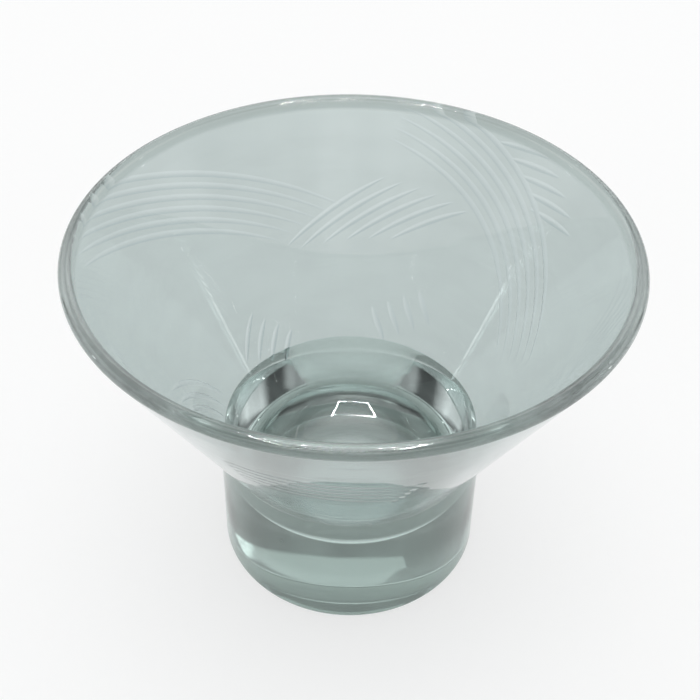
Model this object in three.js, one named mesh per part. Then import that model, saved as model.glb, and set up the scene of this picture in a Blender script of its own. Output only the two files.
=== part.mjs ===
// Footed glass bowl: a flared, straight-walled cup whose narrow base is seated in a heavy solid foot.
// Millimetres, +Z up, origin at the centre of the foot's contact plane, axis of revolution on Z.

import * as THREE from 'three';

// Driving dimensions of the whole bowl
const HEIGHT = 103.9;
const RIM_RADIUS = 70;
const FACETS = 96;

// Cup: a truncated cone of even wall under a beaded lip, closed by a dished floor low inside the foot
const WALL = 3;
const BEAD_ROUND = 1.85;
const BEAD_BLEND = 3;
const FLOOR_HEIGHT = 20.7;
const FLOOR_THICKNESS = 3;
const DISH_ROUND = 17;
const NECK_HEIGHT = 39.9;
const NECK_RADIUS = 36.6;

// Foot: a near-cylindrical block, slightly waisted, with a rounded lower edge and a flat base
const FOOT_RADIUS = 36.95;
const FOOT_WAIST = 0.15;
const FOOT_EDGE_ROUND = 1.4;

// Fineness of the round stretches
const RIM_STEPS = 3;
const DISH_STEPS = 8;
const EDGE_STEPS = 4;
const SIDE_STEPS = 6;

// Centre of the lip's bead, and the cone's lean from the axis that follows from it
const RIM_CENTRE = new THREE.Vector2(RIM_RADIUS - BEAD_ROUND, HEIGHT - BEAD_ROUND);
const FLARE = flareThroughNeck();

/** Angle of the outer cone that leaves the neck and lies tangent to the bead. */
function flareThroughNeck() {
  const across = RIM_CENTRE.x - NECK_RADIUS;
  const rise = RIM_CENTRE.y - NECK_HEIGHT;
  return Math.atan2(across, rise) + Math.asin(BEAD_ROUND / Math.hypot(across, rise));
}

/** Point on the outer cone at a given height. */
function outerCone(z) {
  return new THREE.Vector2(NECK_RADIUS + (z - NECK_HEIGHT) * Math.tan(FLARE), z);
}

/** Point on the inner cone, one wall inside the outer one, at a given height. */
function innerCone(z) {
  return new THREE.Vector2(outerCone(z).x - WALL / Math.cos(FLARE), z);
}

/** Point at a distance and an angle from a centre. */
function around(centre, radius, angle) {
  return new THREE.Vector2(
    centre.x + radius * Math.cos(angle),
    centre.y + radius * Math.sin(angle),
  );
}

/** Points of an arc about a centre, from one angle to another, both ends included. */
function arc(centre, radius, from, to, steps) {
  const points = [];
  for (let i = 0; i <= steps; i += 1) {
    points.push(around(centre, radius, from + ((to - from) * i) / steps));
  }
  return points;
}

/** The dish, a wide round from the inner cone down to the flat middle of the floor. */
function dish() {
  const centreHeight = FLOOR_HEIGHT + DISH_ROUND;
  const centre = new THREE.Vector2(
    innerCone(centreHeight).x - DISH_ROUND / Math.cos(FLARE),
    centreHeight,
  );
  return arc(centre, DISH_ROUND, -FLARE, -Math.PI / 2, DISH_STEPS);
}

/** The fire-polished lip: a round bead over its widest and highest points, blended into the inner cone. */
function rimBead() {
  const reach = BEAD_ROUND + BEAD_BLEND;
  const lean = Math.acos((WALL + BEAD_BLEND - BEAD_ROUND) / reach);
  const beadEnd = Math.PI - FLARE + lean;
  const turns = [-FLARE, 0, Math.PI / 2, beadEnd];
  const points = [outerCone(RIM_CENTRE.y - BEAD_ROUND * Math.sin(FLARE))];
  for (let i = 1; i < turns.length; i += 1) {
    points.push(...arc(RIM_CENTRE, BEAD_ROUND, turns[i - 1], turns[i], RIM_STEPS).slice(1));
  }
  const blendCentre = around(RIM_CENTRE, reach, beadEnd);
  points.push(...arc(blendCentre, BEAD_BLEND, lean - FLARE, -FLARE, RIM_STEPS).slice(1));
  return points;
}

/** The seat that the cup's base and the foot share, from the axis out and up to the neck. */
function seat() {
  const seatHeight = FLOOR_HEIGHT - FLOOR_THICKNESS;
  return [new THREE.Vector2(0, seatHeight), outerCone(seatHeight), outerCone(NECK_HEIGHT)];
}

/** Half section of the cup, from the seat's centre round the rim to the floor's centre. */
function cupProfile() {
  return [...seat(), ...rimBead(), ...dish(), new THREE.Vector2(0, FLOOR_HEIGHT)];
}

/** The foot's outer side, drawn in at the waist, from above the lower round up to the neck. */
function footSide() {
  const points = [];
  for (let i = 1; i <= SIDE_STEPS; i += 1) {
    const t = i / SIDE_STEPS;
    points.push(new THREE.Vector2(
      THREE.MathUtils.lerp(FOOT_RADIUS, NECK_RADIUS, t) - FOOT_WAIST * 4 * t * (1 - t),
      THREE.MathUtils.lerp(FOOT_EDGE_ROUND, NECK_HEIGHT, t),
    ));
  }
  return points;
}

/** Half section of the foot, from the base's centre round the outside to the seat's centre. */
function footProfile() {
  const edgeCentre = new THREE.Vector2(FOOT_RADIUS - FOOT_EDGE_ROUND, FOOT_EDGE_ROUND);
  return [
    new THREE.Vector2(0, 0),
    ...arc(edgeCentre, FOOT_EDGE_ROUND, -Math.PI / 2, 0, EDGE_STEPS),
    ...footSide(),
    ...seat().reverse().slice(1),
  ];
}

/** A named solid of revolution about +Z. */
function turned(name, profile, material) {
  const geometry = new THREE.LatheGeometry(profile, FACETS).rotateX(Math.PI / 2);
  const mesh = new THREE.Mesh(geometry, material);
  mesh.name = name;
  return mesh;
}

const clearGlass = new THREE.MeshStandardMaterial({
  color: 0xc9d4d1,
  roughness: 0.03,
  metalness: 0,
  transparent: true,
  opacity: 0.35,
});
const deepGlass = new THREE.MeshStandardMaterial({
  color: 0xa9b7b3,
  roughness: 0.03,
  metalness: 0,
  transparent: true,
  opacity: 0.45,
});

const bowl = new THREE.Group();
bowl.add(turned('flared_cup', cupProfile(), clearGlass));
bowl.add(turned('solid_foot', footProfile(), deepGlass));

export default bowl;
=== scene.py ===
"""Looks of a footed glass bowl: a flared cup with sheaves of wheel-cut arcs, seated in a heavy clear foot.

Metres, +Z up, the bowl's axis on Z and its contact plane at z = 0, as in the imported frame.
"""

import logging
import math
from dataclasses import dataclass, field
from enum import Enum

import bpy
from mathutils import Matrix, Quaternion, Vector


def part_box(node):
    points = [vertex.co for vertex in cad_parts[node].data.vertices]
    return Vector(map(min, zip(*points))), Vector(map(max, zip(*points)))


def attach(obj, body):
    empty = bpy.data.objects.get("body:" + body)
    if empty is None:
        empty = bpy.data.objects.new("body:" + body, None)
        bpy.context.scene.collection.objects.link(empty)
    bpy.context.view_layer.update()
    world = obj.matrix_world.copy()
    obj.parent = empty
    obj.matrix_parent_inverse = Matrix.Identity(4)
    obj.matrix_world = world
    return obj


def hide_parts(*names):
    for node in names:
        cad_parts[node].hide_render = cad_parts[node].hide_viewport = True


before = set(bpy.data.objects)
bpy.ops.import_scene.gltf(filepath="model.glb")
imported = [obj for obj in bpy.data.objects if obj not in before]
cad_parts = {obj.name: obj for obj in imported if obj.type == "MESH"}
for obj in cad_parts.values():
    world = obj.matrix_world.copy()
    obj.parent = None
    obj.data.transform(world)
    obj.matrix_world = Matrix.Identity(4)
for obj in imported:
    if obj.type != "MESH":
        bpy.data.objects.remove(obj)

MM = 0.001

# Distance at which points weld, angle past which an edge stays crisp, and refraction of the glass
WELD = 0.001 * MM
CRISP = math.radians(8.0)
REFRACTION = 1.52

# Range that a noise field mostly keeps to, and a length that keeps a division from zero
NOISE_SPAN = (0.3, 0.7)
TINY = 0.001

# Names of the frame's body and nodes
BODY = "root"
CUP_NODE = "flared_cup"
FOOT_NODE = "solid_foot"

Colour = tuple[float, float, float]
Flat = tuple[float, float]
Tints = tuple[tuple[float, Colour], ...]
Greys = tuple[Flat, ...]

log = logging.getLogger("footed_bowl")


# Node trees


class Takes(Enum):
    """Kinds of input that a geometry recipe can have."""

    GEOMETRY = "NodeSocketGeometry"
    NUMBER = "NodeSocketFloat"
    COUNT = "NodeSocketInt"
    PLACE = "NodeSocketVector"
    FINISH = "NodeSocketMaterial"


class Value:
    """A node's output that takes part in arithmetic by adding Math nodes to its tree."""

    def __init__(self, maker: "NodeMaker", socket: bpy.types.NodeSocket) -> None:
        """Keeps the socket and the maker of its tree."""
        self.maker = maker
        self.socket = socket

    def __add__(self, other: "Operand") -> "Value":
        """self + other."""
        return self.maker.math("ADD", self, other)

    def __radd__(self, other: "Operand") -> "Value":
        """other + self."""
        return self.maker.math("ADD", other, self)

    def __sub__(self, other: "Operand") -> "Value":
        """self - other."""
        return self.maker.math("SUBTRACT", self, other)

    def __rsub__(self, other: "Operand") -> "Value":
        """other - self."""
        return self.maker.math("SUBTRACT", other, self)

    def __mul__(self, other: "Operand") -> "Value":
        """self * other."""
        return self.maker.math("MULTIPLY", self, other)

    def __rmul__(self, other: "Operand") -> "Value":
        """other * self."""
        return self.maker.math("MULTIPLY", other, self)

    def __truediv__(self, other: "Operand") -> "Value":
        """self / other."""
        return self.maker.math("DIVIDE", self, other)

    def __rtruediv__(self, other: "Operand") -> "Value":
        """other / self."""
        return self.maker.math("DIVIDE", other, self)

    def __pow__(self, other: "Operand") -> "Value":
        """self to the power of other."""
        return self.maker.math("POWER", self, other)

    def __rpow__(self, other: "Operand") -> "Value":
        """other to the power of self."""
        return self.maker.math("POWER", other, self)

    def floor(self) -> "Value":
        """The whole number at or below self."""
        return self.maker.math("FLOOR", self)

    def clamped(self) -> "Value":
        """self held between 0 and 1."""
        return self.maker.math("MINIMUM", self.maker.math("MAXIMUM", self, 0.0), 1.0)


Operand = Value | int | float


class Made:
    """A node that has been added to a tree, indexed by the name of an output."""

    def __init__(self, maker: "NodeMaker", node: bpy.types.Node) -> None:
        """Keeps the node and the maker of its tree."""
        self.maker = maker
        self.node = node

    def __getitem__(self, output: str) -> Value:
        """The output of that name or identifier."""
        return Value(self.maker, find_socket(self.node.outputs, output))


def find_socket(sockets: bpy.types.bpy_prop_collection, key: str) -> bpy.types.NodeSocket:
    """Finds a socket in use by its identifier or its name.

    Args:
        sockets: A node's inputs or outputs.
        key: The identifier or the name.

    Returns:
        The socket.
    """
    for socket in sockets:
        if socket.enabled and key in (socket.identifier, socket.name):
            return socket
    raise KeyError(f"no socket {key} among {[socket.name for socket in sockets]}")


class NodeMaker:
    """Adds nodes and links to one node tree."""

    def __init__(self, tree: bpy.types.NodeTree) -> None:
        """Keeps the tree."""
        self.tree = tree

    def add(self, kind: str, settings: dict | None = None, sockets: dict | None = None) -> Made:
        """Adds any node.

        Args:
            kind: The node's type.
            settings: The node's own properties, set first. "stops" holds a ramp's (place, colour) pairs.
            sockets: Values or links for its inputs, by name or identifier.

        Returns:
            The node, indexed by output.
        """
        node = self.tree.nodes.new(kind)
        for name, value in (settings or {}).items():
            if name == "stops":
                self.set_stops(node.color_ramp, value)
            else:
                setattr(node, name, value)
        for key, value in (sockets or {}).items():
            self.feed(find_socket(node.inputs, key), value)
        return Made(self, node)

    def feed(self, socket: bpy.types.NodeSocket, value: object) -> None:
        """Links a Value to a socket, or sets the socket's own value.

        Args:
            socket: The input to feed.
            value: A Value or a plain value.
        """
        if isinstance(value, Value):
            self.tree.links.new(value.socket, socket)
        elif socket.type == "RGBA":
            socket.default_value = (*value, 1.0)
        else:
            socket.default_value = value

    @staticmethod
    def set_stops(ramp: bpy.types.ColorRamp, stops: list[tuple[float, Colour]]) -> None:
        """Gives a colour ramp its stops.

        Args:
            ramp: The ramp, which starts with two stops.
            stops: Place and colour of each stop, in order.
        """
        while len(ramp.elements) < len(stops):
            ramp.elements.new(1.0)
        for element, (place, colour) in zip(ramp.elements, stops):
            element.position = place
            element.color = (*colour, 1.0)

    def math(self, operation: str, *operands: Operand) -> Value:
        """Adds a Math node.

        Args:
            operation: The node's operation.
            operands: Its values or links, in order.

        Returns:
            The result.
        """
        node = self.tree.nodes.new("ShaderNodeMath")
        node.operation = operation
        for socket, operand in zip(node.inputs, operands):
            self.feed(socket, operand)
        return Value(self, node.outputs[0])

    def length(self, x: Value, y: Value) -> Value:
        """The length of a flat vector."""
        return self.math("SQRT", x * x + y * y)

    def vector(self, x: Operand, y: Operand, z: Operand) -> Value:
        """A vector from its three parts."""
        return self.add("ShaderNodeCombineXYZ", sockets={"X": x, "Y": y, "Z": z})["Vector"]

    def parts(self, vector: Value) -> tuple[Value, Value, Value]:
        """The three parts of a vector."""
        split = self.add("ShaderNodeSeparateXYZ", sockets={"Vector": vector})
        return split["X"], split["Y"], split["Z"]

    def noise(self, place: Value, scale: float, detail: float = 2.0, roughness: float = 0.5) -> Value:
        """A noise field of about 0 to 1, read at a place, with scale cells to a unit."""
        sockets = {"Vector": place, "Scale": scale, "Detail": detail, "Roughness": roughness}
        return self.add("ShaderNodeTexNoise", sockets=sockets)["Fac"]

    def ramp(self, factor: Value, low: float, high: float, start: float, end: float) -> Value:
        """Carries a factor smoothly from start, at low and below, to end, at high and above."""
        sockets = {"Value": factor, "From Min": low, "From Max": high, "To Min": start, "To Max": end}
        return self.add("ShaderNodeMapRange", {"interpolation_type": "SMOOTHSTEP"}, sockets)["Result"]

    def mix(self, factor: Value, first: Colour | Value, second: Colour | Value) -> Value:
        """A colour between two, by a factor."""
        sockets = {"Factor": factor, "A": first, "B": second}
        return self.add("ShaderNodeMix", {"data_type": "RGBA"}, sockets)["Result"]

    def scaled(self, colour: Value, factor: Value) -> Value:
        """A colour times a number."""
        sockets = {"Vector": colour, "Scale": factor}
        return self.add("ShaderNodeVectorMath", {"operation": "SCALE"}, sockets)["Vector"]

    def banded(self, factor: Value, stops: list[tuple[float, Colour]]) -> Value:
        """A colour that changes from stop to stop along a factor."""
        return self.add("ShaderNodeValToRGB", {"stops": stops}, {"Fac": factor})["Color"]


class Recipe:
    """A Geometry Nodes tree with named inputs that makes one object's mesh anew."""

    def __init__(self, name: str) -> None:
        """Starts the tree with a geometry input and output.

        Args:
            name: The tree's name.
        """
        self.tree = bpy.data.node_groups.new(name, "GeometryNodeTree")
        self.maker = NodeMaker(self.tree)
        self.identifiers: dict[str, str] = {}
        self.tree.interface.new_socket("Geometry", in_out="OUTPUT", socket_type=Takes.GEOMETRY.value)
        self.entry = self.tree.nodes.new("NodeGroupInput")
        self.exit = self.tree.nodes.new("NodeGroupOutput")
        self.geometry = self.takes("Geometry", Takes.GEOMETRY)

    def takes(self, name: str, kind: Takes) -> Value:
        """Adds a named input to the tree.

        Args:
            name: What the input is called.
            kind: What it holds.

        Returns:
            The input's value inside the tree.
        """
        socket = self.tree.interface.new_socket(name, in_out="INPUT", socket_type=kind.value)
        self.identifiers[name] = socket.identifier
        return Value(self.maker, find_socket(self.entry.outputs, name))

    def closed(self, geometry: Value) -> Value:
        """Welds the seams and poles of a shell and shades it smooth.

        Args:
            geometry: The shell.

        Returns:
            The closed shell.
        """
        make = self.maker
        weld = {"Geometry": geometry, "Distance": WELD}
        welded = make.add("GeometryNodeMergeByDistance", sockets=weld)["Geometry"]
        return make.add("GeometryNodeSetShadeSmooth", sockets={"Geometry": welded})["Geometry"]

    def dressed(self, geometry: Value, finish: Value, where: Value | bool = True) -> Value:
        """Gives geometry its finish, on all its faces or where it is told."""
        sockets = {"Geometry": geometry, "Selection": where, "Material": finish}
        return self.maker.add("GeometryNodeSetMaterial", sockets=sockets)["Geometry"]

    def real(self, geometry: Value) -> Value:
        """Realizes instances."""
        return self.maker.add("GeometryNodeRealizeInstances", sockets={"Geometry": geometry})["Geometry"]

    def ends(self, geometry: Value) -> None:
        """Links the geometry to the tree's output."""
        self.maker.feed(self.exit.inputs[0], geometry)

    def run(self, obj: bpy.types.Object, values: dict[str, object]) -> None:
        """Runs the tree on an object and leaves it with the result as a plain mesh.

        Args:
            obj: The object, whose own mesh goes into the tree.
            values: What the named inputs hold.
        """
        modifier = obj.modifiers.new(self.tree.name, "NODES")
        modifier.node_group = self.tree
        for name, value in values.items():
            modifier[self.identifiers[name]] = value
        apply_modifiers(obj)


def apply_modifiers(obj: bpy.types.Object) -> None:
    """Swaps an object's mesh for what its modifiers make of it, and takes them off.

    Args:
        obj: The object.
    """
    graph = bpy.context.evaluated_depsgraph_get()
    mesh = bpy.data.meshes.new_from_object(obj.evaluated_get(graph))
    mesh.name = obj.name
    if mesh.materials[0] is None:
        mesh.materials.pop(index=0)
    obj.modifiers.clear()
    old = obj.data
    obj.data = mesh
    bpy.data.meshes.remove(old)


def add_object(name: str, data: bpy.types.ID) -> bpy.types.Object:
    """Links a new object to the scene.

    Args:
        name: The object's name.
        data: Its mesh, light or camera.

    Returns:
        The object, at the origin.
    """
    obj = bpy.data.objects.new(name, data)
    bpy.context.scene.collection.objects.link(obj)
    return obj


# Finishes


class Shader(dict):
    """A Principled shader's inputs by name, in a new material, with the maker of its tree."""

    def __init__(self, name: str) -> None:
        """Starts the material.

        Args:
            name: The material's name.
        """
        self.material = bpy.data.materials.new(name)
        self.material.use_nodes = True
        self.make = NodeMaker(self.material.node_tree)
        node = self.material.node_tree.nodes["Principled BSDF"]
        super().__init__({socket.name: socket for socket in node.inputs})
        self.light = Value(self.make, node.outputs["BSDF"])
        self.place = self.make.add("ShaderNodeTexCoord")["Object"]

    def set_glass(self) -> None:
        """Makes the shader one of glass."""
        self["IOR"].default_value = REFRACTION
        self["Transmission Weight"].default_value = 1.0

    def bump(self, height: Value, strength: float, distance: float) -> None:
        """Raises the surface by a height of about 0 to 1 times a distance."""
        sockets = {"Strength": strength, "Distance": distance, "Height": height}
        self.make.feed(self["Normal"], self.make.add("ShaderNodeBump", sockets=sockets)["Normal"])

    def blend(self, factor: Value, first: Value, second: Value) -> None:
        """Shows one of two shaders by a factor.

        Args:
            factor: 0 for the first, 1 for the second.
            first: The first shader.
            second: The second shader.
        """
        sockets = {"Fac": factor, "Shader": first, "Shader_001": second}
        both = self.make.add("ShaderNodeMixShader", sockets=sockets)["Shader"]
        self.make.feed(self.material.node_tree.nodes["Material Output"].inputs["Surface"], both)


@dataclass(frozen=True)
class ClearGlass:
    """Fire-polished glass with a grey tint, drawn streaks and a slight wave.

    Attributes:
        name: The material's name.
        tints: Heights in millimetres, and what is left there of light that passes through two faces.
        painted_light_pool: A lighter tint in the middle of the base, a painted patch of light where the light
            gathers.
        painted_light_pool_radii: Radii between which that painted light fades out.
        painted_light_pool_heights: Heights between which it fades out.
        streaks: Streaks to a metre round the bowl.
        streak_run: How many times longer than high a streak is.
        streak_span: Range of the noise over which a streak grows dense.
        density: Share of the light that the densest streak keeps back.
        wave: Height of the surface's slow wave.
        film: Patches to a metre of the film that fingers leave.
        film_span: Range of the noise over which that film grows thick.
        smear: Roughness where it is thickest.
    """

    name: str
    tints: Tints
    painted_light_pool: Colour = (0.88, 1.0, 0.97)
    painted_light_pool_radii: Flat = (13.0 * MM, 25.0 * MM)
    painted_light_pool_heights: Flat = (0.2 * MM, 1.4 * MM)
    streaks: float = 60.0
    streak_run: float = 5.0
    streak_span: Flat = (0.35, 0.7)
    density: float = 0.035
    wave: float = 0.04 * MM
    film: float = 35.0
    film_span: Flat = (0.55, 0.8)
    smear: float = 0.004

    def material(self) -> bpy.types.Material:
        """Makes the finish.

        Returns:
            Its material.
        """
        shader = Shader(self.name)
        make = shader.make
        flat = {"Vector": shader.place, "Scale": (1.0, 1.0, self.streak_run)}
        drawn = make.add("ShaderNodeMapping", sockets=flat)["Vector"]
        streak = make.noise(drawn, self.streaks, detail=3.0)
        kept = make.ramp(streak, *self.streak_span, 1.0, 1.0 - self.density)
        film = make.noise(shader.place, self.film, detail=4.0, roughness=0.65)
        wave = make.noise(drawn, self.streaks / 2.0, detail=1.0)
        make.feed(shader["Base Color"], make.scaled(self.tint(shader), kept))
        make.feed(shader["Roughness"], make.ramp(film, *self.film_span, 0.0, self.smear))
        shader.bump(wave, strength=1.0, distance=self.wave)
        shader.set_glass()
        return shader.material

    def tint(self, shader: Shader) -> Value:
        """The tint, banded by height, with a painted patch of light in the middle of the base.

        Args:
            shader: The material's shader.

        Returns:
            The tint.
        """
        make = shader.make
        x, y, z = make.parts(shader.place)
        top = self.tints[-1][0]
        stops = [(height / top, tint) for height, tint in self.tints]
        banded = make.banded(z / (top * MM), stops)
        # Painted light: a lighter tint gathered in the middle of the base.
        middle = make.ramp(make.length(x, y), *self.painted_light_pool_radii, 1.0, 0.0)
        return make.mix(middle * make.ramp(z, *self.painted_light_pool_heights, 1.0, 0.0), banded, self.painted_light_pool)


@dataclass(frozen=True)
class SatinCut:
    """The matte face that a grinding wheel leaves in glass, with a painted shade on one flank of each cut and
    a painted highlight on the other.

    Attributes:
        lean: The wall's lean from the upright.
        name: The material's name.
        dark: What is left of light through two such faces on the flank of a cut that looks down, darkened as
            painted shade.
        light: The same on the flank that looks up, lightened as a painted highlight.
        steep: How far a flank turns from the wall before it has the full colour.
        grit: Grains of the wheel to a metre.
        grit_depth: Depth of a grain.
        grit_shows: Share of that depth that shows.
        patches: Better and worse polished patches to a metre.
        patch_share: Share of the patches in the roughness. The rest is the grain's.
        smooth: Roughness where the cut is best polished.
        rough: Roughness where it is left matte.
    """

    lean: float
    name: str = "satin_wheel_cut_painted_relief"
    dark: Colour = (0.43, 0.51, 0.52)
    light: Colour = (0.68, 0.745, 0.75)
    steep: float = 0.18
    grit: float = 2600.0
    grit_depth: float = 0.05 * MM
    grit_shows: float = 0.25
    patches: float = 160.0
    patch_share: float = 0.7
    smooth: float = 0.08
    rough: float = 0.20

    def material(self) -> bpy.types.Material:
        """Makes the finish.

        Returns:
            Its material.
        """
        shader = Shader(self.name)
        make = shader.make
        grain = make.noise(shader.place, self.grit)
        patch = make.noise(shader.place, self.patches, detail=3.0)
        matte = patch * self.patch_share + grain * (1.0 - self.patch_share)
        # Painted relief: a darker tint where a cut's face turns down and a lighter one where it turns up.
        make.feed(shader["Base Color"], make.mix(self.flank(shader), self.dark, self.light))
        make.feed(shader["Roughness"], make.ramp(matte, *NOISE_SPAN, self.smooth, self.rough))
        shader.bump(grain, self.grit_shows, self.grit_depth)
        shader.set_glass()
        return shader.material

    def flank(self, shader: Shader) -> Value:
        """Which flank of its cut a point lies on, by the way its face turns, for the painted shade and
        highlight.

        Args:
            shader: The material's shader.

        Returns:
            A share from 0 on one flank to 1 on the other.
        """
        make = shader.make
        x, y, _ = make.parts(shader.place)
        facing_x, facing_y, facing_z = make.parts(make.add("ShaderNodeNewGeometry")["Normal"])
        radius = make.length(x, y)
        outward = (facing_x * x + facing_y * y) / radius
        uphill = outward * math.sin(self.lean) + facing_z * math.cos(self.lean)
        sideways = (facing_y * x - facing_x * y) / radius
        return make.ramp(uphill + sideways, -self.steep, self.steep, 0.0, 1.0)


@dataclass(frozen=True)
class FusedSeam:
    """The joint where cup and foot have run together: clear through, with a few fine seeds caught in it.

    Attributes:
        name: The material's name.
        spacing: Cells to a metre in which one seed may lie.
        seed_size: Radius of a seed, as a share of its cell.
        share: Share of the cells that hold a seed.
        seed: Colour of a seed.
        seed_rough: Roughness of a seed.
    """

    name: str = "fused_seam"
    spacing: float = 130.0
    seed_size: float = 0.05
    share: float = 0.10
    seed: Colour = (0.72, 0.76, 0.75)
    seed_rough: float = 0.15

    def material(self) -> bpy.types.Material:
        """Makes the finish.

        Returns:
            Its material.
        """
        shader = Shader(self.name)
        make = shader.make
        make.feed(shader["Base Color"], self.seed)
        make.feed(shader["Roughness"], self.seed_rough)
        cells = make.add("ShaderNodeTexVoronoi", sockets={"Vector": shader.place, "Scale": self.spacing})
        chosen = make.add("ShaderNodeSeparateColor", sockets={"Color": cells["Color"]})["Red"]
        inside = make.math("LESS_THAN", cells["Distance"], self.seed_size)
        caught = inside * make.math("LESS_THAN", chosen, self.share)
        shader.blend(caught, make.add("ShaderNodeBsdfTransparent")["BSDF"], shader.light)
        return shader.material


# Shapes


@dataclass
class Section:
    """A half section, drawn point by point in the plane of radius and height.

    Attributes:
        points: Radius and height of each point.
        seated: Whether each point lies on the seat that cup and foot share.
        hug: Distance from a bend at which a straight has its first ring, which keeps its shading true.
    """

    points: list[Flat] = field(default_factory=list)
    seated: list[bool] = field(default_factory=list)
    hug: float = 0.05 * MM

    def mark(self, point: Flat, seated: bool = False) -> None:
        """Adds one point."""
        self.points.append(point)
        self.seated.append(seated)

    def straight(self, end: Flat, rings: int, seated: bool = False) -> None:
        """Draws a straight from the last point.

        Args:
            end: Where the straight ends.
            rings: Points spaced evenly between its ends.
            seated: Whether it lies on the seat.
        """
        begin = self.points[-1]
        near = self.hug / math.dist(begin, end)
        shares = [near, *(i / (rings + 1) for i in range(1, rings + 1)), 1.0 - near, 1.0]
        for share in shares:
            self.mark(tuple(a + (b - a) * share for a, b in zip(begin, end)), seated)

    def arc(self, centre: Flat, radius: float, begin: float, end: float, steps: int) -> None:
        """Draws an arc in steps from one angle to another, whose first point is the last one drawn."""
        for i in range(1, steps + 1):
            self.mark(around(centre, radius, begin + (end - begin) * i / steps))

    def mesh(self, name: str) -> bpy.types.Mesh:
        """The section as a line of points with an on_seat attribute.

        Args:
            name: The mesh's name.

        Returns:
            The mesh, in the plane y = 0.
        """
        mesh = bpy.data.meshes.new(name)
        edges = [(i, i + 1) for i in range(len(self.points) - 1)]
        mesh.from_pydata([(r, 0.0, z) for r, z in self.points], edges, [])
        on_seat = mesh.attributes.new("on_seat", "FLOAT", "POINT")
        on_seat.data.foreach_set("value", [float(seated) for seated in self.seated])
        return mesh


def around(centre: Flat, radius: float, angle: float) -> Flat:
    """Point at a distance and an angle from a centre."""
    return centre[0] + radius * math.cos(angle), centre[1] + radius * math.sin(angle)


class TurnedSolid(Recipe):
    """Turns a half section about +Z into a closed solid whose seat faces have a finish of their own.

    Attributes:
        ALL_SEATED: A face's mean of on_seat above which all its corners lie on the seat.
    """

    ALL_SEATED = 0.99

    def __init__(self) -> None:
        """Builds the tree."""
        super().__init__("turned_solid")
        make = self.maker
        facets = self.takes("Facets", Takes.COUNT)
        glass = self.takes("Glass", Takes.FINISH)
        seam = self.takes("Seam", Takes.FINISH)

        size = make.add("GeometryNodeAttributeDomainSize", sockets={"Geometry": self.geometry})["Point Count"]
        counts = {"Vertices X": facets + 1, "Vertices Y": size}
        grid = make.add("GeometryNodeMeshGrid", sockets=counts)["Mesh"]
        index = make.add("GeometryNodeInputIndex")["Index"]
        column = (index / size).floor()
        row = index - column * size
        point = self.sampled("FLOAT_VECTOR", make.add("GeometryNodeInputPosition")["Position"], row)
        radius, _, height = make.parts(point)
        turn = column / facets * math.tau
        place = make.vector(radius * make.math("COSINE", turn), radius * make.math("SINE", turn), height)

        shape = {"Geometry": grid, "Position": place}
        shaped = make.add("GeometryNodeSetPosition", sockets=shape)["Geometry"]
        seat = {"Geometry": shaped, "Name": "on_seat"}
        seat["Value"] = self.sampled("FLOAT", self.attribute("on_seat"), row)
        marked = make.add("GeometryNodeStoreNamedAttribute", sockets=seat)["Geometry"]
        glassy = self.dressed(self.real(self.closed(marked)), glass)
        on_seat = make.math("GREATER_THAN", self.attribute("on_seat"), self.ALL_SEATED)
        self.ends(self.dressed(glassy, seam, on_seat))

    def sampled(self, kind: str, value: Value, row: Value) -> Value:
        """A value of the section, read at the point of a row."""
        sockets = {"Geometry": self.geometry, "Value": value, "Index": row}
        return self.maker.add("GeometryNodeSampleIndex", {"data_type": kind}, sockets)["Value"]

    def attribute(self, name: str) -> Value:
        """A named number on the geometry."""
        return self.maker.add("GeometryNodeInputNamedAttribute", sockets={"Name": name})["Attribute"]


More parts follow.
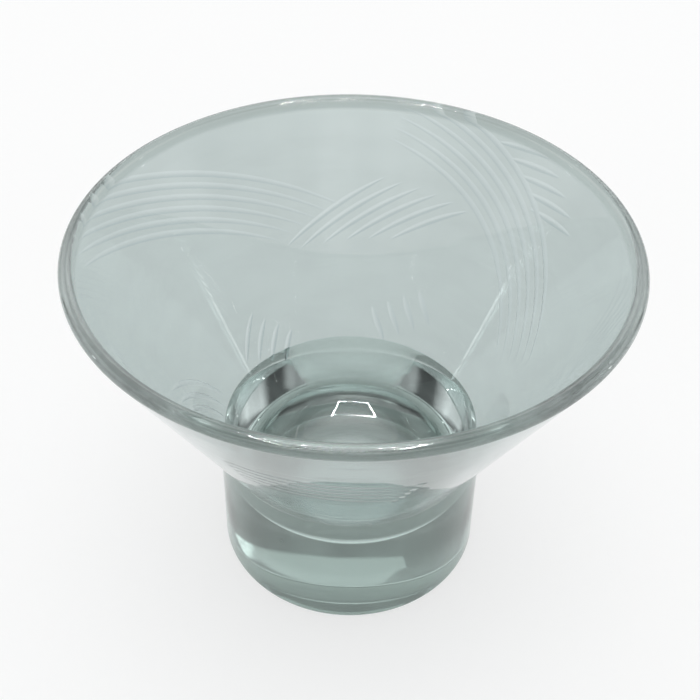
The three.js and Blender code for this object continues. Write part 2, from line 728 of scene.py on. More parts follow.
@dataclass(frozen=True)
class BowlForm:
    """The lines that cup and foot share, read from the frame where it has them.

    Attributes:
        rim_radius: Radius of the rim at its widest.
        height: Height of the rim above the table.
        foot_radius: Radius of the foot above its lower edge.
        neck_height: Height where the cup leaves the foot.
        seat_height: Height of the cup's underside, inside the foot.
        neck_radius: Radius where the cup leaves the foot.
        foot_waist: How far the foot's side is drawn in half way up.
        foot_edge: Radius of the foot's lower edge.
        wall: Thickness of the cup's wall.
        bead_round: Radius of the bead along the lip.
        bead_blend: Radius of the hollow that leads from the bead to the inner wall.
        neck_fillet: Radius of the small round where the cup leaves the foot.
        neck_steps: Steps along each half of that round.
        seat_rings: Rings on the seat's flat middle and on its cone.
        facets: Facets round the axis.
    """

    rim_radius: float
    height: float
    foot_radius: float
    neck_height: float
    seat_height: float
    neck_radius: float = 36.6 * MM
    foot_waist: float = 0.15 * MM
    foot_edge: float = 1.4 * MM
    wall: float = 3.0 * MM
    bead_round: float = 1.85 * MM
    bead_blend: float = 3.0 * MM
    neck_fillet: float = 1.0 * MM
    neck_steps: int = 3
    seat_rings: tuple[int, int] = (4, 6)
    facets: int = 384

    @classmethod
    def from_frame(cls) -> "BowlForm":
        """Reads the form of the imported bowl.

        Returns:
            The form.
        """
        cup_low, cup_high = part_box(CUP_NODE)
        _, foot_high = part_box(FOOT_NODE)
        return cls(cup_high[0], cup_high[2], foot_high[0], foot_high[2], cup_low[2])

    @property
    def rim_centre(self) -> Flat:
        """Centre of the lip's bead."""
        return self.rim_radius - self.bead_round, self.height - self.bead_round

    @property
    def flare(self) -> float:
        """Lean of the cup's wall from the axis, tangent to the bead.

        Returns:
            The lean, in radians.
        """
        across = self.rim_centre[0] - self.neck_radius
        rise = self.rim_centre[1] - self.neck_height
        return math.atan2(across, rise) + math.asin(self.bead_round / math.hypot(across, rise))

    @property
    def foot_lean(self) -> float:
        """Slope of the foot's side at the neck, radius over height."""
        change = self.neck_radius - self.foot_radius + 4.0 * self.foot_waist
        return change / (self.neck_height - self.foot_edge)

    @property
    def tip_height(self) -> float:
        """Height at which the outer cone would come to a point, below the table."""
        return self.neck_height - self.neck_radius / math.tan(self.flare)

    def outer(self, height: float) -> Flat:
        """Point of the outer cone at a height."""
        return (height - self.tip_height) * math.tan(self.flare), height

    def inner(self, height: float) -> Flat:
        """Point of the inner cone at a height."""
        return self.outer(height)[0] - self.wall / math.cos(self.flare), height

    def neck(self) -> tuple[Flat, float, float, float]:
        """The small round at the neck.

        Returns:
            Its centre, and its angles at the foot's side, in the middle and at the cup's wall.
        """
        foot_angle = math.pi - math.atan(self.foot_lean)
        cup_angle = math.pi - self.flare
        middle = (foot_angle + cup_angle) / 2.0
        reach = self.neck_fillet / math.cos((foot_angle - cup_angle) / 2.0)
        centre = around((self.neck_radius, self.neck_height), -reach, middle)
        return centre, foot_angle, middle, cup_angle

    def seat(self) -> list[Flat]:
        """Corners of the seat, from the axis out and up to the neck's round.

        Returns:
            Radius and height of each corner.
        """
        centre, _, middle, _ = self.neck()
        return [
            (0.0, self.seat_height),
            self.outer(self.seat_height),
            (self.neck_radius, self.neck_height),
            around(centre, self.neck_fillet, middle),
        ]


@dataclass
class Cup:
    """The flared cup: a straight wall with a beaded lip, a dished floor and cut arcs outside.

    Attributes:
        form: The lines it shares with the foot.
        floor_thickness: Glass between the dish and the seat.
        dish_round: Radius of the round from the wall to the floor's flat middle.
        rim_steps: Steps along each third of the bead.
        blend_steps: Steps along the hollow beside it.
        dish_steps: Steps along the dish's round.
        wall_rings: Rings on the wall, outside and inside.
        floor_rings: Rings on the floor's flat middle.
        clear: Tint of the thin wall.
        deep: Tint of the dish's round, where the glass is thick.
        lip: Darker tint of the lip, a painted shade for the dark band along its bead.
        deep_band: Heights in millimetres at which the deep tint sets in, is full, ends and is gone.
        painted_lip_shade_band: Heights in millimetres at which the lip's painted shade sets in, is full and
            ends.
    """

    form: BowlForm
    floor_thickness: float = 3.0 * MM
    dish_round: float = 17.0 * MM
    rim_steps: int = 14
    blend_steps: int = 8
    dish_steps: int = 28
    wall_rings: int = 18
    floor_rings: int = 6
    clear: Colour = (0.546, 0.618, 0.610)
    deep: Colour = (0.22, 0.275, 0.26)
    lip: Colour = (0.40, 0.46, 0.445)
    deep_band: tuple[float, ...] = (21.5, 23.0, 28.0, 33.0)
    painted_lip_shade_band: tuple[float, ...] = (100.6, 101.4, 104.0)

    @property
    def floor_height(self) -> float:
        """Height of the floor's flat middle."""
        return self.form.seat_height + self.floor_thickness

    def dish_centre(self) -> Flat:
        """Centre of the round from the wall to the floor."""
        height = self.floor_height + self.dish_round
        return self.form.inner(height)[0] - self.dish_round / math.cos(self.form.flare), height

    def section(self) -> Section:
        """Draws the cup's half section, from the seat's centre round the rim to the floor's centre.

        Returns:
            The section.
        """
        form = self.form
        section = Section()
        corners = form.seat()
        section.mark(corners[0], seated=True)
        for corner, rings in zip(corners[1:], form.seat_rings):
            section.straight(corner, rings, seated=True)
        section.mark(corners[3], seated=True)
        centre, _, middle, wall_angle = form.neck()
        section.arc(centre, form.neck_fillet, middle, wall_angle, form.neck_steps)
        self.draw_lip(section)
        dish = self.dish_centre()
        wall_end = form.inner(dish[1] - self.dish_round * math.sin(form.flare))
        section.straight(wall_end, self.wall_rings)
        section.arc(dish, self.dish_round, -form.flare, -math.pi / 2.0, self.dish_steps)
        section.straight((0.0, self.floor_height), self.floor_rings)
        return section

    def draw_lip(self, section: Section) -> None:
        """Draws the outer wall, the bead along the lip and the hollow that leads to the inner wall.

        Args:
            section: The section, drawn as far as the neck.
        """
        form = self.form
        rim = form.rim_centre
        wall_end = form.outer(rim[1] - form.bead_round * math.sin(form.flare))
        section.straight(wall_end, self.wall_rings)
        reach = form.bead_round + form.bead_blend
        lean = math.acos((form.wall + form.bead_blend - form.bead_round) / reach)
        bead_end = math.pi - form.flare + lean
        turns = [-form.flare, 0.0, math.pi / 2.0, bead_end]
        for begin, end in zip(turns, turns[1:]):
            section.arc(rim, form.bead_round, begin, end, self.rim_steps)
        hollow = around(rim, reach, bead_end)
        section.arc(hollow, form.bead_blend, lean - form.flare, -form.flare, self.blend_steps)

    def glass(self) -> bpy.types.Material:
        """Makes the cup's glass, deeper where the dish curves up, and darker at the lip as painted shade.

        Returns:
            Its material.
        """
        clear, deep, lip = self.clear, self.deep, self.lip
        # The lip's darker tint is painted shade for the dark band along the bead.
        tints = zip(self.deep_band + self.painted_lip_shade_band, (clear, deep, deep, clear, clear, lip, lip))
        return ClearGlass("cup_glass", tuple(tints)).material()

    def build(self, turned: TurnedSolid, seam: bpy.types.Material) -> bpy.types.Object:
        """Turns the cup.

        Args:
            turned: The recipe that turns it.
            seam: The finish of its seat.

        Returns:
            The cup, without its cuts.
        """
        obj = add_object("cup_body", self.section().mesh("cup_section"))
        turned.run(obj, {"Facets": self.form.facets, "Glass": self.glass(), "Seam": seam})
        return obj


@dataclass
class Foot:
    """The foot: a heavy block, slightly waisted, with a rounded lower edge and a flat base.

    Attributes:
        form: The lines it shares with the cup.
        base_rings: Rings on the base.
        edge_steps: Steps along the lower edge.
        side_steps: Steps up the side.
        base: Tint of the base, darkened as painted shadow of the floor seen under the foot.
        low: Tint of the side below the dish.
        high: Tint of the side beside it.
        bands: Heights in millimetres at which base ends, low is full, low ends, high is full, and the top.
        streaks: Streaks to a metre in its glass.
    """

    form: BowlForm
    base_rings: int = 8
    edge_steps: int = 16
    side_steps: int = 26
    base: Colour = (0.14, 0.185, 0.17)
    low: Colour = (0.245, 0.325, 0.30)
    high: Colour = (0.44, 0.56, 0.53)
    bands: tuple[float, ...] = (0.2, 1.4, 20.0, 30.0, 40.0)
    streaks: float = 40.0

    def section(self) -> Section:
        """Draws the foot's half section, from the base's centre round the outside to the seat's centre.

        Returns:
            The section.
        """
        form = self.form
        section = Section()
        edge = (form.foot_radius - form.foot_edge, form.foot_edge)
        section.mark((0.0, 0.0))
        section.straight((edge[0], 0.0), self.base_rings)
        section.arc(edge, form.foot_edge, -math.pi / 2.0, 0.0, self.edge_steps)
        centre, side_angle, middle, _ = form.neck()
        rise = around(centre, form.neck_fillet, side_angle)[1] - form.foot_edge
        for i in range(1, self.side_steps + 1):
            section.mark(self.side(form.foot_edge + rise * i / self.side_steps))
        section.arc(centre, form.neck_fillet, side_angle, middle, form.neck_steps)
        section.seated[-1] = True
        corners = form.seat()
        section.mark(corners[2], seated=True)
        for corner, rings in zip(corners[1::-1], form.seat_rings[::-1]):
            section.straight(corner, rings, seated=True)
        return section

    def side(self, height: float) -> Flat:
        """Point of the waisted side.

        Args:
            height: Its height.

        Returns:
            Its radius and height.
        """
        form = self.form
        t = (height - form.foot_edge) / (form.neck_height - form.foot_edge)
        straight = form.foot_radius + (form.neck_radius - form.foot_radius) * t
        return straight - form.foot_waist * 4.0 * t * (1.0 - t), height

    def glass(self) -> bpy.types.Material:
        """The foot's glass, deepest at its base, where the dark tint is painted shadow."""
        # The base's dark tint paints the shadow that the floor under the foot would show.
        tints = zip(self.bands, (self.base, self.low, self.low, self.high, self.high))
        return ClearGlass("foot_glass", tuple(tints), streaks=self.streaks).material()

    def build(self, turned: TurnedSolid, seam: bpy.types.Material) -> bpy.types.Object:
        """Turns the foot.

        Args:
            turned: The recipe that turns it.
            seam: The finish of its seat.

        Returns:
            The foot.
        """
        obj = add_object("foot_block", self.section().mesh("foot_section"))
        turned.run(obj, {"Facets": self.form.facets, "Glass": self.glass(), "Seam": seam})
        return obj


# Wheel cuts


@dataclass(frozen=True)
class CutSheaf:
    """A sheaf of parallel cut lines, laid out in millimetres on the cup's outside rolled flat.

    The flat sheet has the cone's tip at its origin and the back of the bowl along its +Y.

    Attributes:
        name: What the sheaf is called.
        path: Start, two handles and end of the curve that the first line follows.
        count: Lines in the sheaf.
        spacing: Distance to the next line, to the left of the curve's run.
        first: Share of the curve at which the first line starts.
        last: Share of the curve at which the first line ends.
        first_step: How much later each next line starts.
        last_step: How much later each next line ends.
    """

    name: str
    path: tuple[Flat, Flat, Flat, Flat]
    count: int
    spacing: float
    first: float = 0.0
    last: float = 1.0
    first_step: float = 0.0
    last_step: float = 0.0


class WheelCut(Recipe):
    """Makes the tool bodies that cut a sheaf of lines into a cone.

    Attributes:
        PATH: Names of the inputs for the points of the first line's curve.
        CURVE_STEPS: Steps along that curve.
        OVER: How far a tool is wider than its cut.
        TIP_LIFT: How far a tool's two ends lie above the surface.
        FULLNESS: Power that rounds the taper of a cut.
    """

    PATH = ("Start", "Leave", "Arrive", "End")
    CURVE_STEPS = 64
    OVER = 1.15
    TIP_LIFT = 0.1 * MM
    FULLNESS = 0.6

    def __init__(self) -> None:
        """Builds the tree."""
        super().__init__("wheel_cut")
        make = self.maker
        path = [self.takes(name, Takes.PLACE) for name in self.PATH]
        count = self.takes("Count", Takes.COUNT)
        spacing = self.takes("Spacing", Takes.NUMBER)
        first = self.takes("First", Takes.NUMBER)
        last = self.takes("Last", Takes.NUMBER)
        first_step = self.takes("First Step", Takes.NUMBER)
        last_step = self.takes("Last Step", Takes.NUMBER)
        along = self.takes("Along", Takes.COUNT)
        across = self.takes("Across", Takes.COUNT)
        self.width = self.takes("Width", Takes.NUMBER)
        self.depth = self.takes("Depth", Takes.NUMBER)
        self.lean = self.takes("Lean", Takes.NUMBER)
        self.tip = self.takes("Tip Height", Takes.NUMBER)
        finish = self.takes("Finish", Takes.FINISH)

        columns = along + 1
        rows = across + 1
        strips = self.strips(columns, rows, count)
        index = make.add("GeometryNodeInputIndex")["Index"]
        line = (index / (columns * rows)).floor()
        within = index - line * columns * rows
        column = (within / rows).floor()
        row = within - column * rows
        share = column / along

        begin = (first + first_step * line).clamped()
        end = (last + last_step * line).clamped()
        curve = {"Curves": self.curve(path), "Factor": begin + (end - begin) * share}
        sample = make.add("GeometryNodeSampleCurve", sockets=curve)
        x, y, _ = make.parts(sample["Position"])
        run_x, run_y, _ = make.parts(sample["Tangent"])
        side, lift = self.profile(row, across, self.taper(share))
        offset = side + line * spacing
        shape = {"Geometry": strips}
        shape["Position"] = self.rolled(x - run_y * offset, y + run_x * offset, lift)
        shaped = make.add("GeometryNodeSetPosition", sockets=shape)["Geometry"]
        self.ends(self.dressed(self.real(self.closed(shaped)), finish))

    def strips(self, columns: Value, rows: Value, count: Value) -> Value:
        """A flat grid for each line of the sheaf.

        Args:
            columns: Points along a grid.
            rows: Points across it.
            count: How many grids.

        Returns:
            The grids, one after the other in a single mesh.
        """
        make = self.maker
        grid = make.add("GeometryNodeMeshGrid", sockets={"Vertices X": columns, "Vertices Y": rows})["Mesh"]
        spots = make.add("GeometryNodeMeshLine", sockets={"Count": count})["Mesh"]
        copies = {"Points": spots, "Instance": grid}
        return self.real(make.add("GeometryNodeInstanceOnPoints", sockets=copies)["Instances"])

    def curve(self, path: list[Value]) -> Value:
        """The curve that the first line follows.

        Args:
            path: Its start, two handles and end.

        Returns:
            The curve, on the flat sheet.
        """
        handles = dict(zip(("Start", "Start Handle", "End Handle", "End"), path))
        sockets = {"Resolution": self.CURVE_STEPS, **handles}
        return self.maker.add("GeometryNodeCurvePrimitiveBezierSegment", sockets=sockets)["Curve"]

    def taper(self, share: Value) -> Value:
        """How full the cut is along its length: full in the middle, nothing at its two ends."""
        middle = share * 2.0 - 1.0
        return (1.0 - middle ** 2.0) ** self.FULLNESS

    def profile(self, row: Value, across: Value, taper: Value) -> tuple[Value, Value]:
        """The tool's cross section: a shallow bow below the surface, closed by a flat lid above it.

        Args:
            row: Which point round the section.
            across: Points round the section.
            taper: How full the cut is here.

        Returns:
            Place across the cut, and height above the cup's surface.
        """
        last_row = across - 1
        round_row = row - (row / across).floor() * across
        place = (round_row / last_row * 2.0 - 1.0) * self.OVER
        side = place * taper * self.width / 2.0
        lift = (place * place - 1.0) * self.depth * taper + (1.0 - taper) * self.TIP_LIFT
        return side, lift

    def rolled(self, x: Value, y: Value, lift: Value) -> Value:
        """Rolls a point of the flat sheet onto the cone.

        Args:
            x: Place across the sheet.
            y: Place along the sheet.
            lift: Height above the cone.

        Returns:
            The point on the bowl.
        """
        make = self.maker
        reach = make.length(x, y)
        sine = make.math("SINE", self.lean)
        cosine = make.math("COSINE", self.lean)
        turn = make.math("ARCTAN2", x, y) / sine
        radius = reach * sine + lift * cosine
        height = self.tip + reach * cosine - lift * sine
        return make.vector(radius * make.math("SINE", turn), radius * make.math("COSINE", turn), height)


@dataclass
class WheelCuts:
    """The cup's ornament: sheaves of shallow arcs cut by a wheel into the outside of its wall.

    Attributes:
        form: The lines of the cup.
        width: Width of a cut at its fullest.
        depth: Depth of a cut at its fullest.
        along: Steps along a cut.
        across: Points round the tool's section.
    """

    form: BowlForm
    width: float = 1.8 * MM
    depth: float = 0.13 * MM
    along: int = 44
    across: int = 9

    def sheaves(self) -> list[CutSheaf]:
        """Lays out the sheaves, from the crown at the back round to the front.

        Returns:
            The sheaves.
        """
        crown = ((4, 138.5), (38.5, 126), (52.5, 101.5), (51.5, 68.5))
        fan = ((-10.5, 90.5), (3, 104), (21, 114), (36.5, 116.5))
        left = ((-105, 97), (-70.5, 113), (-31, 115), (0, 96.5))
        low_left = ((-32, 86.5), (-34, 82.5), (-35.5, 77), (-36, 70))
        low_middle = ((5.5, 87), (7, 83), (8.5, 79.5), (10, 75.5))
        leaves = ((-84.5, 64), (-72, 69.5), (-58.5, 69), (-47, 61.5))
        right = ((39.5, 136.5), (52, 135), (66.5, 130.5), (79.5, 123))
        front_left = ((-116.5, 41.5), (-124, 23.5), (-124, 5), (-117.5, -11.5))
        front_right = ((96, 54), (92, 42.5), (90, 30), (87, 18))
        return [
            CutSheaf("crown", crown, 6, 3.4),
            CutSheaf("fan", fan, 6, 3.4, first=0.46, first_step=-0.105, last_step=-0.07),
            CutSheaf("left", left, 6, 3.2, last=0.82, last_step=0.03),
            CutSheaf("low_left", low_left, 4, 4.8),
            CutSheaf("low_middle", low_middle, 4, 5.2),
            CutSheaf("leaves", leaves, 4, -3.8),
            CutSheaf("right", right, 5, -3.7, first=0.04, last=0.52, first_step=0.1, last_step=0.13),
            CutSheaf("front_left", front_left, 5, 3.4),
            CutSheaf("front_right", front_right, 5, -3.4),
        ]

    def cut(self, cup: bpy.types.Object) -> None:
        """Cuts every sheaf into the cup.

        Args:
            cup: The turned cup.
        """
        recipe = WheelCut()
        finish = SatinCut(self.form.flare).material()
        tools = [self.tool(recipe, sheaf, finish) for sheaf in self.sheaves()]
        for tool in tools:
            cutting = cup.modifiers.new(tool.name, "BOOLEAN")
            cutting.operation = "DIFFERENCE"
            cutting.solver = "MANIFOLD"
            cutting.material_mode = "TRANSFER"
            cutting.object = tool
        apply_modifiers(cup)
        for tool in tools:
            bpy.data.meshes.remove(tool.data)

    def tool(self, recipe: WheelCut, sheaf: CutSheaf, finish: bpy.types.Material) -> bpy.types.Object:
        """Makes the tool bodies of one sheaf.

        Args:
            recipe: The recipe that makes them.
            sheaf: Their layout.
            finish: The finish that they leave.

        Returns:
            The tool bodies, in place on the cup.
        """
        obj = add_object(f"tool_{sheaf.name}", bpy.data.meshes.new(f"tool_{sheaf.name}"))
        places = [(x * MM, y * MM, 0.0) for x, y in sheaf.path]
        values = dict(zip(WheelCut.PATH, places))
        values |= {"Count": sheaf.count, "Spacing": sheaf.spacing * MM}
        values |= {"First": sheaf.first, "First Step": sheaf.first_step}
        values |= {"Last": sheaf.last, "Last Step": sheaf.last_step}
        values |= {"Along": self.along, "Across": self.across, "Width": self.width, "Depth": self.depth}
        values |= {"Lean": self.form.flare, "Tip Height": self.form.tip_height, "Finish": finish}
        recipe.run(obj, values)
        return obj


# Studio


@dataclass
class Viewpoint:
    """The camera, at the photograph's angle.

    Attributes:
        elevation: Height above the horizon, in degrees.
        roll: Roll, in degrees.
        distance: From the camera to the point that it looks at.
        target_height: Height of that point.
        sensor: Width of the sensor, in millimetres.
        lens: Focal length, in millimetres.
        shift: Shift of the picture to the side, as a share of its width.
    """

    elevation: float = 42.21
    roll: float = 1.145
    distance: float = 285.5 * MM
    target_height: float = 67.17 * MM
    sensor: float = 36.0
    lens: float = 55.9
    shift: float = -0.0032

    def build(self) -> None:
        """Places the camera."""
        lens = bpy.data.cameras.new("camera")
        lens.sensor_width = self.sensor
        lens.lens = self.lens
        lens.shift_x = self.shift
        camera = add_object("camera", lens)
        lift = math.radians(self.elevation)
        back = Vector((0.0, -math.cos(lift), math.sin(lift)))
        camera.location = Vector((0.0, 0.0, self.target_height)) + back * self.distance
        camera.rotation_mode = "QUATERNION"
        level = (-back).to_track_quat("-Z", "Y")
        camera.rotation_quaternion = level @ Quaternion((0.0, 0.0, 1.0), math.radians(self.roll))
        bpy.context.scene.camera = camera


@dataclass
class PaleFloor:
    """A plain floor of white paper just under the foot.

    Attributes:
        size: Length of its sides.
        gap: How far it lies below the foot, so that their faces don't fight.
        white: Share of plain white in what the eye sees of it. The rest keeps the bowl's shadow.
        fibres: Fibres of the paper to a metre.
        dark: Colour between the fibres.
        light: Colour of the fibres.
        rough: Roughness of the paper.
    """

    size: float = 3.0
    gap: float = 0.5 * MM
    white: float = 0.65
    fibres: float = 400.0
    dark: Colour = (0.88, 0.89, 0.89)
    light: Colour = (0.91, 0.92, 0.92)
    rough: float = 0.9

    def build(self) -> bpy.types.Object:
        """Lays the floor.

        Returns:
            The floor.
        """
        half = self.size / 2.0
        mesh = bpy.data.meshes.new("pale_floor")
        corners = [(-half, -half), (half, -half), (half, half), (-half, half)]
        mesh.from_pydata([(x, y, -self.gap) for x, y in corners], [], [(0, 1, 2, 3)])
        mesh.materials.append(self.material())
        return add_object("pale_floor", mesh)

    def material(self) -> bpy.types.Material:
        """Makes matte paper that looks white to the eye and keeps the bowl's shadow.

        Returns:
            Its material.
        """
        shader = Shader("pale_paper")
        make = shader.make
        fibre = make.noise(shader.place, self.fibres, 3.0)
        make.feed(shader["Base Color"], make.mix(fibre, self.dark, self.light))
        make.feed(shader["Roughness"], self.rough)
        make.feed(shader["Specular IOR Level"], 0.0)
        path = make.add("ShaderNodeLightPath")
        seen = (path["Is Camera Ray"] + path["Is Glossy Ray"] + path["Is Transmission Ray"]).clamped()
        glow = {"Color": (1.0, 1.0, 1.0), "Strength": 1.0}
        white = make.add("ShaderNodeEmission", sockets=glow)["Emission"]
        shader.blend(seen * self.white, shader.light, white)
        return shader.material


@dataclass(frozen=True)
class ArcOfLight:
    """A thin crescent of light overhead, fuller at its right end and cut short at its left.

    Attributes:
        outer: Radii overhead between which it ends on the outside.
        inner: Radii between which it starts on the inside, about a point set to the front.
        set_front: How far to the front that point lies.
        front_edge: Places to the back between which the whole crescent begins.
        fuller: Places across between which its right end grows fuller.
        thinner: Places across between which its left end grows thinner.
        change: How much fuller or thinner it grows.
        stop: Places across between which it stops at the left.
        drop: How far its outside moves in there.
        brighter: Places across between which it grows brighter.
        glow: Brightness to the left and to the right of them.
    """

    outer: Flat = (0.760, 0.772)
    inner: Flat = (0.785, 0.800)
    set_front: float = 0.1
    front_edge: Flat = (0.04, 0.12)
    fuller: Flat = (0.55, 0.70)
    thinner: Flat = (-0.36, -0.14)
    change: float = 0.03
    stop: Flat = (-0.38, -0.33)
    drop: float = 0.05
    brighter: Flat = (0.60, 0.67)
    glow: Flat = (1.05, 2.6)

    def over(self, make: NodeMaker, across: Value, along: Value, room: Value) -> Value:
        """Lays the arc over the light of the room.

        Args:
            make: The maker of the tree.
            across: Place overhead to the right.
            along: Place overhead to the back.
            room: Light of the room.

        Returns:
            The light of both.
        """
        fuller = make.ramp(across, *self.fuller, 0.0, self.change)
        thinner = make.ramp(across, *self.thinner, self.change, 0.0)
        inner = make.length(across, along + self.set_front) + fuller - thinner
        outer = make.length(across, along) + make.ramp(across, *self.stop, self.drop, 0.0)
        crescent = make.ramp(outer, *self.outer, 1.0, 0.0) * make.ramp(inner, *self.inner, 0.0, 1.0)
        lit = crescent * make.ramp(along, *self.front_edge, 0.0, 1.0)
        bright = make.ramp(across, *self.brighter, *self.glow)
        return make.mix(lit, room, make.vector(bright, bright, bright))


@dataclass
class Room:
    """The soft grey room that the glass mirrors, with a round pale roof and a thin arc of light.

    A height is the upward part of a direction. A bearing is the part of a level direction that runs back.
    A place overhead is where a direction meets a level plane one unit up.

    Attributes:
        rear: Heights and greys of the wall behind the bowl.
        sides: Heights and greys of the walls beside it.
        front: Heights and greys of the wall before it.
        sides_from: Bearings between which the rear wall passes into the sides.
        front_from: Bearings between which the sides pass into the front wall.
        lintel: Heights between which the rear wall narrows.
        lintel_turn: How far its ends move back there.
        strip: Bearing of the two low upright lights.
        strip_edge: Distances from that bearing between which they fade.
        strip_top: Heights between which they end.
        strip_glow: Their brightness.
        patches: Lighter and darker patches of the walls, to a unit of direction.
        mottle: How far the walls' brightness wanders either way.
        lowest: Least height that a place overhead is worked out from.
        roof_edge: Radii overhead between which the roof ends.
        roof: Brightness of the roof.
        glow_edge: Radii overhead between which the roof's bright middle fades.
        glow: Brightness of that middle.
        arc: The arc of light behind the roof.
        backdrop: What the eye sees beyond the floor.
    """

    rear: Greys = (
        (0.0, 0.50), (0.12, 0.55), (0.45, 1.65), (0.58, 1.65), (0.63, 0.46), (0.78, 0.45), (0.81, 0.60)
    )
    sides: Greys = (
        (0.0, 0.60), (0.30, 0.60), (0.40, 0.90), (0.52, 0.90), (0.66, 0.04), (0.78, 0.12), (0.85, 0.44)
    )
    front: Greys = (
        (0.0, 0.60), (0.30, 0.70), (0.52, 1.80), (0.60, 1.80), (0.68, 0.90), (0.74, 1.20), (0.76, 0.30)
    )
    sides_from: Flat = (-0.40, -0.10)
    front_from: Flat = (-0.985, -0.68)
    lintel: Flat = (0.715, 0.75)
    lintel_turn: float = 0.5
    strip: float = 0.105
    strip_edge: Flat = (0.010, 0.020)
    strip_top: Flat = (0.08, 0.12)
    strip_glow: Colour = (6.0, 6.0, 6.0)
    patches: float = 3.0
    mottle: float = 0.18
    lowest: float = 0.05
    roof_edge: Flat = (0.575, 0.595)
    roof: Colour = (1.05, 1.06, 1.06)
    glow_edge: Flat = (0.10, 0.50)
    glow: Colour = (2.8, 2.8, 2.8)
    arc: ArcOfLight = ArcOfLight()
    backdrop: Colour = (1.0, 1.0, 1.0)

    def build(self) -> None:
        """Makes the room the scene's world."""
        world = bpy.data.worlds.new("studio")
        bpy.context.scene.world = world
        world.use_nodes = True
        make = NodeMaker(world.node_tree)
        towards = make.add("ShaderNodeTexCoord")["Generated"]
        x, y, z = make.parts(towards)
        patch = make.noise(towards, self.patches)
        wander = make.ramp(patch, *NOISE_SPAN, 1.0 - self.mottle, 1.0 + self.mottle)
        walls = make.scaled(self.walls(make, x, y, z), wander)
        rise = make.math("MAXIMUM", z, self.lowest)
        lit = self.overhead(make, x / rise, y / rise, walls)
        seen = make.add("ShaderNodeLightPath")["Is Camera Ray"]
        colour = make.mix(seen, lit, self.backdrop)
        make.feed(world.node_tree.nodes["Background"].inputs["Color"], colour)

    def walls(self, make: NodeMaker, x: Value, y: Value, z: Value) -> Value:
        """The walls all round, with two low upright lights.

        Args:
            make: The maker of the tree.
            x: Part of the direction that runs right.
            y: Part of the direction that runs back.
            z: Part of the direction that runs up.

        Returns:
            Their light.
        """
        bearing = y / (make.length(x, y) + TINY)
        rear, sides, front = (self.greys(make, z, stops) for stops in (self.rear, self.sides, self.front))
        narrowed = bearing - make.ramp(z, *self.lintel, 0.0, self.lintel_turn)
        walls = make.mix(make.ramp(narrowed, *self.sides_from, 1.0, 0.0), rear, sides)
        walls = make.mix(make.ramp(bearing, *self.front_from, 1.0, 0.0), walls, front)
        beside = make.math("ABSOLUTE", bearing - self.strip)
        strip = make.ramp(beside, *self.strip_edge, 1.0, 0.0) * make.ramp(z, *self.strip_top, 1.0, 0.0)
        return make.mix(strip, walls, self.strip_glow)

    def overhead(self, make: NodeMaker, across: Value, along: Value, walls: Value) -> Value:
        """The roof with its bright middle and the arc of light, over the walls.

        Args:
            make: The maker of the tree.
            across: Place overhead to the right.
            along: Place overhead to the back.
            walls: Light of the walls.

        Returns:
            The room's light.
        """
        away = make.length(across, along)
        roof = make.mix(make.ramp(away, *self.roof_edge, 1.0, 0.0), walls, self.roof)
        glow = make.mix(make.ramp(away, *self.glow_edge, 1.0, 0.0), roof, self.glow)
        return self.arc.over(make, across, along, glow)

    @staticmethod
    def greys(make: NodeMaker, height: Value, stops: Greys) -> Value:
        """A grey that changes with height."""
        return make.banded(height, [(place, (grey, grey, grey)) for place, grey in stops])


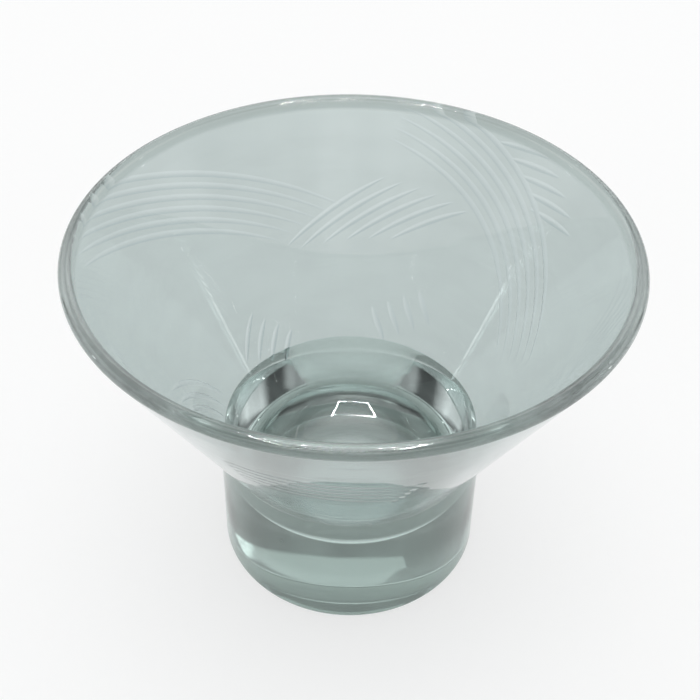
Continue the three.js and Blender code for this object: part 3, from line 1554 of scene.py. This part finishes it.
@dataclass
class LampFrame:
    """A square frame of small lamps before the bowl, for its sparkle only: they leave the floor alone.

    Attributes:
        left: Place of its left side.
        right: Place of its right side.
        near: Place of its side near the camera.
        far: Place of its side near the bowl.
        height: Its height above the table.
        lamps_a_side: Lamps along each side.
        lamp_size: Width of a lamp.
        lamp_power: Power of a lamp, in watts.
    """

    left: float = -0.120
    right: float = 0.088
    near: float = -0.242
    far: float = -0.028
    height: float = 0.42
    lamps_a_side: int = 14
    lamp_size: float = 6.0 * MM
    lamp_power: float = 0.03

    def build(self) -> None:
        """Hangs the lamps."""
        lamp = self.lamp()
        near = [(self.left, self.near), (self.right, self.near)]
        far = [(self.right, self.far), (self.left, self.far)]
        corners = near + far
        for begin, end in zip(corners, corners[1:] + corners[:1]):
            for i in range(self.lamps_a_side):
                x, y = (a + (b - a) * i / self.lamps_a_side for a, b in zip(begin, end))
                spot = add_object("lamp", lamp)
                spot.location = (x, y, self.height)
                spot.visible_diffuse = False
                spot.visible_transmission = False

    def lamp(self) -> bpy.types.Light:
        """Makes one lamp, unlit for rays that a matte face has scattered.

        Returns:
            The lamp.
        """
        lamp = bpy.data.lights.new("lamp", "AREA")
        lamp.shape = "DISK"
        lamp.size = self.lamp_size
        lamp.energy = self.lamp_power
        lamp.use_nodes = True
        make = NodeMaker(lamp.node_tree)
        sharp = 1.0 - make.add("ShaderNodeLightPath")["Diffuse Depth"].clamped()
        make.feed(lamp.node_tree.nodes["Emission"].inputs["Strength"], sharp)
        return lamp


def set_light_paths(bounces: int = 64) -> None:
    """Shows colours as they are and lets light run its whole way through the thick glass.

    Args:
        bounces: Most faces that a ray may meet.
    """
    scene = bpy.context.scene
    scene.view_settings.view_transform = "Standard"
    scene.cycles.max_bounces = bounces
    scene.cycles.glossy_bounces = bounces
    scene.cycles.transmission_bounces = bounces
    scene.cycles.transparent_max_bounces = bounces


def finish_piece(obj: bpy.types.Object, node: str) -> None:
    """Settles a finished piece in the frame and reports it.

    Args:
        obj: The piece.
        node: The CAD node that it stands for.
    """
    mesh = obj.data
    spent = mesh.attributes.get("on_seat")
    if spent:
        mesh.attributes.remove(spent)
    mesh.set_sharp_from_angle(angle=CRISP)
    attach(obj, BODY)
    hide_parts(node)
    mesh.calc_loop_triangles()
    log.info("%s: %d triangles, %s", obj.name, len(mesh.loop_triangles), [m.name for m in mesh.materials])


def main() -> None:
    """Builds the studio, the cup with its cuts and the foot."""
    logging.basicConfig(level=logging.INFO, format="%(name)s: %(message)s")
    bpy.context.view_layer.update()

    Viewpoint().build()
    floor = PaleFloor().build()
    Room().build()
    LampFrame().build()
    set_light_paths()
    log.info("studio: camera, floor, room and lamps")

    form = BowlForm.from_frame()
    turned = TurnedSolid()
    seam = FusedSeam().material()

    cup = Cup(form).build(turned, seam)
    WheelCuts(form).cut(cup)
    finish_piece(cup, CUP_NODE)

    foot = Foot(form).build(turned, seam)
    finish_piece(foot, FOOT_NODE)


if __name__ == "__main__":
    main()
